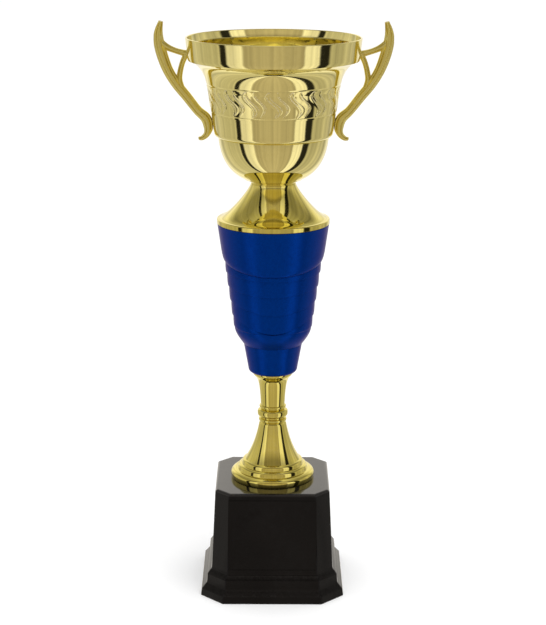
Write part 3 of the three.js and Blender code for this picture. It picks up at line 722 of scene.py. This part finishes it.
def column_outline(turn):
    """The column's outside in one direction, always with the same number of points."""
    aside = abs(sin(turn))
    outline = quarter((COLUMN_FOOT, 0), (COLUMN_LOW_RADIUS, 0), (COLUMN_LOW_RADIUS, COLUMN_FOOT_ROUND), 8)
    outline += [
        (between(COLUMN_LOW_RADIUS, COLUMN_LOW_TOP, t), between(COLUMN_FOOT_ROUND, COLUMN_LOW_HEIGHT, t))
        for t in [i / 6 for i in range(1, 7)]
    ]
    foot = (COLUMN_LOW_TOP + COLUMN_MID_EDGE, COLUMN_LOW_HEIGHT + 0.3)
    outline += [(COLUMN_LOW_TOP - 0.25, COLUMN_LOW_HEIGHT + 0.02), (foot[0] - 0.15, foot[1] - 0.1)]
    outline += sweep(foot, *COLUMN_SHOULDER_STEERS, COLUMN_SHOULDER, 16)
    below = COLUMN_SHOULDER[1]
    for rise, climb in COLUMN_LINES:
        height = rise + climb * aside ** COLUMN_LINE_POWER
        outline += band_face(below, height - COLUMN_LINE_HALF)
        outline += band_step(height)
        below = height + COLUMN_LINE_HALF
    side = aside ** COLUMN_TOP_POWER
    top_edge = COLUMN_TOP_RISE + COLUMN_TOP_CLIMB * side
    outline += band_face(below, top_edge)
    round_top = top_edge + COLUMN_EDGE_ROUND[0] + COLUMN_EDGE_ROUND[1] * side
    edge_foot = (mid_wall(top_edge) + COLUMN_LIP * 0.5, top_edge + 0.1)
    edge_corner = (top_wall(top_edge), top_edge)
    outline += quarter(edge_foot, edge_corner, (top_wall(round_top), round_top), 10)[1:]
    outline += [
        (top_wall(between(round_top, COLUMN_HEIGHT, t)), between(round_top, COLUMN_HEIGHT, t))
        for t in [i / 10 for i in range(1, 10)]
    ]
    outline += [(COLUMN_TOP_RADIUS, COLUMN_HEIGHT - 0.3), (COLUMN_TOP_RADIUS - 0.25, COLUMN_HEIGHT)]
    return outline


def band_face(foot, top):
    """A band's face: proud at its lower edge, and drawn in to the next line above."""
    points = []
    for i in range(1, 9):
        t = i / 9
        height = between(foot, top, t)
        points.append((mid_wall(height) + COLUMN_LIP * (1 - 2 * t ** 1.6), height))
    return points


def band_step(height):
    """The small rounded step from one band's top to the next band's lower edge."""
    wall = mid_wall(height)
    return [
        (wall - COLUMN_LIP, height - 0.12),
        (wall - COLUMN_LIP, height + 0.02),
        (wall + COLUMN_LIP * 0.5, height + 0.06),
        (wall + COLUMN_LIP, height + 0.2),
    ]


def column_piece():
    """The hollow column, with an outline of its own in each direction."""
    outer = column_outline(0)
    inner = [
        (COLUMN_TOP_RADIUS - COLUMN_WALL, COLUMN_HEIGHT), (COLUMN_MID_TOP - COLUMN_WALL, COLUMN_TOP_RISE),
        (COLUMN_SHOULDER[0] - COLUMN_WALL, COLUMN_SHOULDER[1]),
        (COLUMN_LOW_TOP - COLUMN_WALL, COLUMN_LOW_HEIGHT), (COLUMN_LOW_RADIUS - COLUMN_WALL, COLUMN_FLOOR),
        (ROD_BORE, COLUMN_FLOOR), (ROD_BORE, 0.0),
    ]
    outlines = {}

    def shift(turn, index, radius, height):
        """The outside's own place in this direction; the inside stays."""
        if turn not in outlines:
            outlines[turn] = column_outline(turn)
        if index < len(outer):
            radius, height = outlines[turn][index]
        return radius, height + COLUMN_BASE

    piece = turned("column_lacquered", outer + inner, BLUE_LACQUER, 240, shift, 30)
    return hand_over(piece, "blue_metallic", "column")


# ------------------------------------------------------------
# Skirt
# ------------------------------------------------------------

SKIRT_HEIGHT = high("skirt").z - SKIRT_BASE
SKIRT_WAIST = 15.5
SKIRT_LIP_RADIUS = 39.2
SKIRT_LIP_HEIGHT = 3.5
SKIRT_COLLAR = 1.0
SPIGOT_RADIUS = 35.5
SPIGOT_BORE = 34.0
SPIGOT_DEPTH = 5.0


def skirt_piece():
    """The spun skirt: plain lip, flared cone, fine collar, and a spigot that sits in the column."""
    lip, rise = SKIRT_LIP_RADIUS, SKIRT_LIP_HEIGHT
    outline = [
        (lip - 0.3, 0.0), (lip, 0.3), (lip, rise - 1.0),
        *quarter((lip, rise - 0.9), (lip, rise), (lip - 1.0, rise + 0.05), 6)[1:],
        *sweep(
            (lip - 1.1, rise + 0.05), (lip - 7.3, rise + 0.6), (SKIRT_WAIST + 0.3, SKIRT_HEIGHT - 4.8),
            (SKIRT_WAIST, SKIRT_HEIGHT - SKIRT_COLLAR), 48,
        )[1:],
        *arc((SKIRT_WAIST - 0.5, SKIRT_HEIGHT - SKIRT_COLLAR / 2), SKIRT_COLLAR / 2, -56, 56, 10),
        (SKIRT_WAIST, SKIRT_HEIGHT),
        (ROD_BORE, SKIRT_HEIGHT), (ROD_BORE, SKIRT_HEIGHT - 2), (SKIRT_WAIST - 1.5, SKIRT_HEIGHT - 2),
        (20.0, SKIRT_HEIGHT - 13), (30.0, 2.4), (SPIGOT_BORE, 1.0), (SPIGOT_BORE, -SPIGOT_DEPTH),
        (SPIGOT_RADIUS, -SPIGOT_DEPTH), (SPIGOT_RADIUS, 0.0),
    ]
    piece = turned("skirt_spun", [(r, z + SKIRT_BASE) for r, z in outline], GOLD_TURNED, 192)
    return hand_over(piece, "polished_gold", "skirt")


# ------------------------------------------------------------
# Bowl
# ------------------------------------------------------------

BASIN_HEIGHT = 31.4
FOOT_ROUND = 3.2
WALL_HEIGHT = 29.5
COVE_HEIGHT = 19.5
WALL_FOOT = BASIN_HEIGHT + FOOT_ROUND
COVE_FOOT = WALL_FOOT + WALL_HEIGHT
BAND_FOOT = COVE_FOOT + COVE_HEIGHT
BOWL_HEIGHT = RIM_TOP - BOWL_BASE
BOWL_WAIST = 16.0
LEDGE_RADIUS = 37.9
STEP_RADIUS = 37.4
WALL_FOOT_RADIUS = 40.9
COVE_FOOT_RADIUS = 44.9
BAND_FOOT_RADIUS = 58.4
BOWL_WALL = 1.2
BOWL_FLOOR = 2.0
LID_SEAT_DROP = 5.3
LID_SEAT_WIDTH = 1.0
GROOVES = (COVE_FOOT - 15.8, COVE_FOOT + 3.3)
GROOVE_DEPTH = 0.35
GROOVE_HALF = 0.4

RIBBON_REPEATS = 18
RIBBON_HEIGHT = 0.22
RIBBON_EDGE = 0.3
BAND_MARGIN = 0.03
BAND_ROWS = 52
BOWL_ROW = 2.2


def bowl_profile():
    """The bowl's outside from the waist to the rim, without grooves."""
    return [
        *sweep((BOWL_WAIST, 0), (BOWL_WAIST + 0.4, 1.8), (LEDGE_RADIUS - 2.5, 3.2),
               (LEDGE_RADIUS, BASIN_HEIGHT - 0.9), 44),
        (LEDGE_RADIUS, BASIN_HEIGHT - 0.4), (LEDGE_RADIUS - 0.25, BASIN_HEIGHT - 0.12),
        *sweep((STEP_RADIUS, BASIN_HEIGHT), (WALL_FOOT_RADIUS - 1.1, BASIN_HEIGHT + 0.1),
               (WALL_FOOT_RADIUS - 0.1, BASIN_HEIGHT + 1.0), (WALL_FOOT_RADIUS, WALL_FOOT), 12),
        *sweep((COVE_FOOT_RADIUS, COVE_FOOT), (COVE_FOOT_RADIUS + 1.4, COVE_FOOT + 3.2),
               (COVE_FOOT_RADIUS + 1.5, BAND_FOOT - 4.6), (BAND_FOOT_RADIUS - 0.8, BAND_FOOT - 0.4), 30),
        (BAND_FOOT_RADIUS - 0.2, BAND_FOOT - 0.15), (BAND_FOOT_RADIUS, BAND_FOOT + 0.3),
        (RIM_RADIUS - 0.03, BOWL_HEIGHT - 1.0),
        *quarter((RIM_RADIUS, BOWL_HEIGHT - 0.6), (RIM_RADIUS, BOWL_HEIGHT),
                 (RIM_RADIUS - 0.6, BOWL_HEIGHT), 5),
    ]


def bowl_inside():
    """The bowl's inside from the rim down to the floor."""
    outer = [p for p in bowl_profile() if 3.5 < p[1] < BAND_FOOT + 0.2]
    inner = []
    for before, here, after in zip(outer, outer[1:], outer[2:]):
        along = (after[0] - before[0], after[1] - before[1])
        length = hypot(*along)
        inner.append((here[0] - along[1] / length * BOWL_WALL, here[1] + along[0] / length * BOWL_WALL))
    top = quarter((RIM_RADIUS - 0.6, BOWL_HEIGHT), (RIM_RADIUS - 1.2, BOWL_HEIGHT),
                  (RIM_RADIUS - 1.25, BOWL_HEIGHT - 0.6), 5)
    seat = BOWL_HEIGHT - LID_SEAT_DROP
    wall = radius_at(bowl_profile(), seat) - BOWL_WALL
    top += [
        (wall + 0.05, seat + 0.4), (wall - 0.15, seat + 0.08), (wall - LID_SEAT_WIDTH + 0.2, seat),
        (wall - LID_SEAT_WIDTH, seat - 0.2),
    ]
    floor = [(inner[0][0] - 3, BOWL_FLOOR), (ROD_BORE, BOWL_FLOOR), (ROD_BORE, 0.0)]
    return top + inner[::-1] + floor


# Each ribbon of the relief: its shift and lean along the band, how far it curls to the sides,
# where its curl begins and its half width, all in millimetres except the beginning.
RIBBONS = [
    (0.0, -3.2, 3.1, 0.05, 2.7),
    (6.6, -3.2, 2.8, 0.13, 1.4),
]


def ribbon_cover(turn, share):
    """How far a point of the relief band lies on a ribbon: 0 on the ground, 1 on the ribbon.

    share is 0 at the band's lower groove and 1 at its upper one.
    """
    pitch = 2 * pi / RIBBON_REPEATS
    pitch_length = pitch * COVE_FOOT_RADIUS
    cover = 0.0
    for place, lean, curl, begin, half in RIBBONS:
        centre = place + lean * (share - 0.5) + curl * sin(2 * pi * (share - begin))
        across = (turn / pitch * pitch_length - centre) % pitch_length
        distance = min(across, pitch_length - across)
        width = half * (0.12 + 0.88 * sin(pi * min(max(share, 0.0), 1.0)) ** 0.7)
        raised = 1 - smooth_step(width - 0.45, width + 0.1, distance)
        vein = exp(-(distance / 0.35) ** 2) * 0.5
        cover = max(cover, raised * (1 - vein))
    return cover


def relief(turn, height):
    """Height of the relief over the wall at a place on the bowl."""
    bottom, top = GROOVES[0] + GROOVE_HALF, GROOVES[1] - GROOVE_HALF
    if not bottom < height < top:
        return 0.0
    share = (height - bottom) / (top - bottom)
    ends = smooth_step(0.0, 0.05, share) * (1 - smooth_step(0.95, 1.0, share))
    return RIBBON_HEIGHT * ribbon_cover(turn, share) * ends


def bowl_piece():
    """The pressed bowl, with its grooves, and stippled ribbons on the band between them."""
    plain = denser(bowl_profile(), BOWL_ROW)
    band = []
    for i in range(BAND_ROWS + 1):
        height = between(GROOVES[0] - GROOVE_HALF * 1.6, GROOVES[1] + GROOVE_HALF * 1.6, i / BAND_ROWS)
        band.append((radius_at(plain, height), height))
    outer = [p for p in plain if p[1] < band[0][1]] + band + [p for p in plain if p[1] > band[-1][1]]

    def shift(turn, index, radius, height):
        """Adds the relief and the grooves to the outside."""
        if index < len(outer):
            radius += relief(turn, height)
            for groove in GROOVES:
                radius -= GROOVE_DEPTH * exp(-((height - groove) / (GROOVE_HALF * 0.7)) ** 2)
        return radius, height + BOWL_BASE

    piece = turned("bowl_spun", outer + bowl_inside(), GOLD_PLATE, 720, shift, 40)
    piece.data.materials.append(GOLD_STIPPLED)
    span = GROOVES[1] - GROOVES[0]
    for face in piece.data.polygons:
        share = (face.center.z / MM - BOWL_BASE - GROOVES[0]) / span
        outside = face.normal.dot(face.center) > 0
        if outside and BAND_MARGIN < share < 1 - BAND_MARGIN:
            turn = atan2(face.center.x, -face.center.y)
            if ribbon_cover(turn, share) > RIBBON_EDGE:
                face.material_index = 1
    return hand_over(piece, "polished_gold", "bowl")


# ------------------------------------------------------------
# Handles
# ------------------------------------------------------------

# Places along each limb: outward and upward from a seat, half width, half depth.
HORN_UPPER = [
    (17.3, 21.4, 1.5, 1.9), (19.0, 14.2, 2.9, 2.7), (18.9, 7.5, 3.7, 3.1), (16.6, -2.0, 3.9, 3.3),
    (12.9, -11.8, 3.65, 3.4), (7.4, -21.0, 3.5, 3.5), (0.3, -29.8, 3.4, 3.6),
]
HORN_LOWER = [
    (10.3, 8.8, 3.3, 3.9), (4.7, 3.4, 3.7, 4.15), (2.9, -2.6, 3.4, 4.15), (4.0, -7.4, 2.3, 3.6),
    (7.0, -10.2, 1.7, 3.0), (9.7, -10.6, 1.1, 2.4),
]
ARM = [
    (17.6, 6.2, 3.0, 2.6), (13.2, 3.6, 2.3, 2.5), (8.4, 1.6, 2.0, 2.7), (3.6, 0.2, 2.1, 3.0),
    (-1.2, -1.0, 2.6, 3.4),
]
STRUT = [
    (0.6, -1.2, 2.1, 3.0), (3.0, -6.6, 1.9, 2.7), (4.6, -12.6, 1.95, 2.6), (5.2, -18.4, 2.1, 2.7),
    (3.4, -25.0, 2.2, 2.8),
]
# Fine channels along a limb: place across it, from -1 to 1, and depth.
CHANNELS = [(0.72, 0.9), (0.36, 0.8), (-0.6, 0.8)]
CHANNEL_SPREAD = 0.13
HANDLE_GAP = 0.06
HORN_STEPS = 220
ARM_STEPS = 60
STRUT_STEPS = 70
LIMB_AROUND = 96
FADE_STEPS = 6
TIP_STEPS = 5
TIP_RAGGED = 0.45
PATH_NUDGE = 0.002


def smooth_path(stations, share):
    """A smooth value between stations, for each of their numbers."""
    last = len(stations) - 1
    index = min(int(share * last), last - 1)
    t = share * last - index
    p1, p2 = stations[index], stations[index + 1]
    p0 = stations[index - 1] if index > 0 else tuple(2 * a - b for a, b in zip(p1, p2))
    p3 = stations[index + 2] if index + 2 <= last else tuple(2 * b - a for a, b in zip(p1, p2))
    values = []
    for a, b, c, d in zip(p0, p1, p2, p3):
        square, cube = 2 * a - 5 * b + 4 * c - d, 3 * b - a - 3 * c + d
        values.append(0.5 * (2 * b + (c - a) * t + square * t * t + cube * t ** 3))
    return tuple(values)


def limb(stations, steps, cut_tip=False):
    """Points and faces of one limb with a rounded section and fine channels, in the XZ plane."""
    around = LIMB_AROUND
    points, faces = [], []
    for step in range(steps + 1):
        share = step / steps
        x, z, half_width, half_depth = smooth_path(stations, share)
        ahead = smooth_path(stations, min(share + PATH_NUDGE, 1.0))
        behind = smooth_path(stations, max(share - PATH_NUDGE, 0.0))
        along = Vector((ahead[0] - behind[0], ahead[1] - behind[1])).normalized()
        outward = Vector((-along.y, along.x))
        for index in range(around):
            turn = 2 * pi * index / around
            across, deep = cos(turn), sin(turn)
            channel = sum(
                depth * exp(-((across - place) / CHANNEL_SPREAD) ** 2) for place, depth in CHANNELS
            )
            fade = min(1.0, step / FADE_STEPS, (steps - step) / FADE_STEPS)
            depth = deep * (half_depth - channel * fade)
            tip = 0.0
            if cut_tip and step < TIP_STEPS:
                tip = TIP_RAGGED * (1 + cos(3.2 * pi * across)) * (1 - step / TIP_STEPS)
            place = Vector((x, z)) + outward * (across * half_width) + along * tip
            points.append((place.x, depth, place.y))
    for step in range(steps):
        for index in range(around):
            after = (index + 1) % around
            low_ring, high_ring = step * around, (step + 1) * around
            faces.append((low_ring + index, low_ring + after, high_ring + after, high_ring + index))
    faces.append(tuple(range(around)))
    faces.append(tuple(range(steps * around, (steps + 1) * around)))
    return points, faces


def kept_outside(point, profile):
    """Moves a point that lies inside the bowl out to its surface."""
    x, y, z = point
    surface = radius_at(profile, z - BOWL_BASE) + HANDLE_GAP
    radius = hypot(x, y)
    if z > RIM_TOP or radius >= surface:
        return point
    return (x * surface / radius, y * surface / radius, z)


def handle_piece(side_name, side):
    """One cast handle: horn, arm and strut, kept outside the bowl and inside the frame's box."""
    profile = bowl_profile()
    seats = {}
    for name in ("upper", "lower"):
        height = (low(f"{name}_screw_right").z + high(f"{name}_screw_right").z) / 2
        seats[name] = (radius_at(profile, height - BOWL_BASE), height)

    def placed(stations, name):
        """Stations moved from a seat to the frame's own places."""
        out, up = seats[name]
        return [(out + x, up + z, width, depth) for x, z, width, depth in stations]

    horn = placed(HORN_UPPER, "upper") + placed(HORN_LOWER, "lower")
    points, faces = [], []
    for stations, steps, cut_tip in (
        (horn, HORN_STEPS, True), (placed(ARM, "upper"), ARM_STEPS, False),
        (placed(STRUT, "upper"), STRUT_STEPS, False),
    ):
        limb_points, limb_faces = limb(stations, steps, cut_tip=cut_tip)
        offset = len(points)
        points += limb_points
        faces += [tuple(offset + corner for corner in face) for face in limb_faces]
    box_low, box_high = low("handle_right"), high("handle_right")
    shaped = []
    for x, y, z in points:
        x, y, z = kept_outside((x, y, z), profile)
        x = min(max(x, box_low.x), box_high.x)
        y = min(max(y, box_low.y), box_high.y)
        z = min(max(z, box_low.z), box_high.z)
        shaped.append((side * x, y, z))
    piece = finished(f"handle_cast_{side_name}", shaped, faces, GOLD_CASTING, 50)
    return hand_over(piece, "cast_gold", f"handle_{side_name}")


# ------------------------------------------------------------
# Making the pieces
# ------------------------------------------------------------

plinth_piece()
stem_piece()
column_piece()
skirt_piece()
bowl_piece()
handle_piece("right", 1)
handle_piece("left", -1)

CAD_FINISHES = {
    "zinc_steel": ZINC_STEEL,
    "cement": cast_cement(),
    "fibre_board": fibre_board(),
    "felt": black_felt(),
    "cast_gold": GOLD_CASTING,
}
for subpart in frame["record"]["subparts"]:
    finish = CAD_FINISHES.get(subpart["material_slot"])
    node = frame["nodes"][subpart["node"]]
    if finish:
        for material_slot in node.material_slots:
            material_slot.material = finish


# ------------------------------------------------------------
# Floor, light and camera
# ------------------------------------------------------------

def studio_floor():
    """A plain pale floor."""
    material, nodes, shader = new_material("pale_floor", Roughness=0.7, Specular_IOR_Level=0.1)
    nodes.feed(shader, "Base Color", (0.99, 0.99, 0.99, 1))
    nodes.feed(shader, "Emission Color", (1.0, 1.0, 1.0, 1))
    nodes.feed(shader, "Emission Strength", 0.05)
    half = 12.0
    corners = [(-half, -half, 0), (half, -half, 0), (half, half, 0), (-half, half, 0)]
    mesh = bpy.data.meshes.new("floor")
    mesh.from_pydata(corners, [], [(0, 1, 2, 3)])
    floor = bpy.data.objects.new("floor", mesh)
    mesh.materials.append(material)
    bpy.context.scene.collection.objects.link(floor)
    floor.visible_glossy = False
    return floor


# Brightness of the studio as seen in reflections, by the angle from the front towards the right:
# a plain front, a soft light and a narrow dark flag on each side, and pale walls behind.
STUDIO_RING = [
    (-180, 1.0), (-150, 0.95), (-134, 0.42), (-128, 0.7), (-100, 0.54), (-84, 0.52), (-77, 0.62),
    (-75, 0.02), (-67, 0.02), (-64, 0.9), (-55, 0.76), (-44, 1.1), (-40, 0.42), (-30, 0.46),
    (-12, 0.52), (12, 0.50), (34, 0.47), (40, 0.42), (43, 1.02), (50, 0.9), (62, 1.0),
    (65, 0.02), (78, 0.02), (81, 0.54), (98, 0.42), (104, 0.58), (128, 0.6), (134, 0.36),
    (148, 0.9), (180, 1.0),
]

# The tint of that brightness, up to an angle on either side.
STUDIO_TINTS = [
    (41, (1.0, 0.875, 0.78)), (66, (1.0, 0.95, 1.02)),
    (131, (1.0, 0.935, 0.86)), (180, (1.0, 0.95, 0.87)),
]


def studio_world():
    """Even white light, with a ring of soft lights and flags that only reflections see."""
    world = bpy.data.worlds.new("studio")
    bpy.context.scene.world = world
    world.use_nodes = True
    world.node_tree.nodes.clear()
    nodes = Nodes(world.node_tree)
    heading = nodes.add("ShaderNodeTexCoord").outputs["Generated"]
    split = nodes.add("ShaderNodeSeparateXYZ", Vector=heading).outputs
    around = nodes.math("ARCTAN2", split["X"], nodes.math("MULTIPLY", split["Y"], -1.0))
    share = nodes.math("ADD", nodes.math("DIVIDE", around, 2 * pi), 0.5)
    ramp = nodes.add("ShaderNodeValToRGB", Fac=share)
    stops = ramp.color_ramp.elements
    while len(stops) < len(STUDIO_RING):
        stops.new(0.5)
    for stop, (angle, brightness) in zip(stops, STUDIO_RING):
        stop.position = angle / 360 + 0.5
        tint = next(tint for widest, tint in STUDIO_TINTS if abs(angle) <= widest)
        stop.color = (*(brightness * part for part in tint), 1)
    folds = nodes.add("ShaderNodeTexNoise", {"noise_dimensions": "1D"}, W=around, Scale=8.0, Detail=3.0)
    folded = nodes.remap(folds.outputs["Fac"], 0.3, 0.7, 0.85, 1.15)
    near_floor = nodes.remap(split["Z"], -0.97, -0.6, 1.2, 1.12)
    level = nodes.remap(split["Z"], -0.5, -0.25, 1.0, 0.9)
    low_sky = nodes.remap(split["Z"], 0.05, 0.2, 1.0, 1.15)
    high_sky = nodes.remap(split["Z"], 0.4, 0.62, 1.0, 0.48)
    zenith = nodes.remap(split["Z"], 0.8, 0.95, 1.0, 2.0)
    strength = folded
    for factor in (near_floor, level, low_sky, high_sky, zenith):
        strength = nodes.math("MULTIPLY", strength, factor)
    seen = nodes.add("ShaderNodeBackground", Color=ramp.outputs["Color"], Strength=strength)
    even = nodes.add("ShaderNodeBackground", Color=(1.0, 1.0, 1.0, 1), Strength=1.0)
    glossy = nodes.add("ShaderNodeLightPath").outputs["Is Glossy Ray"]
    mixed = nodes.add("ShaderNodeMixShader")
    nodes.feed(mixed, "0", glossy)
    nodes.feed(mixed, "1", even.outputs[0])
    nodes.feed(mixed, "2", seen.outputs[0])
    nodes.add("ShaderNodeOutputWorld", Surface=mixed.outputs[0])


def soft_light(name, place, target, size, power):
    """A large square lamp that reflections don't show."""
    lamp = bpy.data.lights.new(name, "AREA")
    lamp.size = size
    lamp.energy = power
    holder = bpy.data.objects.new(name, lamp)
    holder.location = place
    holder.rotation_euler = (Vector(target) - Vector(place)).to_track_quat("-Z", "Y").to_euler()
    holder.visible_glossy = False
    bpy.context.scene.collection.objects.link(holder)
    return holder


CAMERA_PLACE = (0.0, -1.1582, 0.5054)
CAMERA_DOWN = 14.79
CAMERA_ROLL = 0.18
CAMERA_LENS = 97.96


def studio_camera():
    """A long lens a little above the cup, looking down at it."""
    lens = bpy.data.cameras.new("camera")
    lens.lens = CAMERA_LENS
    lens.sensor_width = 36
    lens.clip_end = 60
    camera = bpy.data.objects.new("camera", lens)
    pitch = Matrix.Rotation(radians(90 - CAMERA_DOWN), 4, "X")
    roll = Matrix.Rotation(radians(CAMERA_ROLL), 4, "Z")
    camera.matrix_world = Matrix.Translation(CAMERA_PLACE) @ pitch @ roll
    bpy.context.scene.collection.objects.link(camera)
    bpy.context.scene.camera = camera


studio_floor()
studio_world()
soft_light("overhead_light", place=(0.3, -0.6, 1.8), target=(0, 0, 0.2), size=1.2, power=9)
studio_camera()
bpy.context.scene.view_settings.view_transform = "Standard"
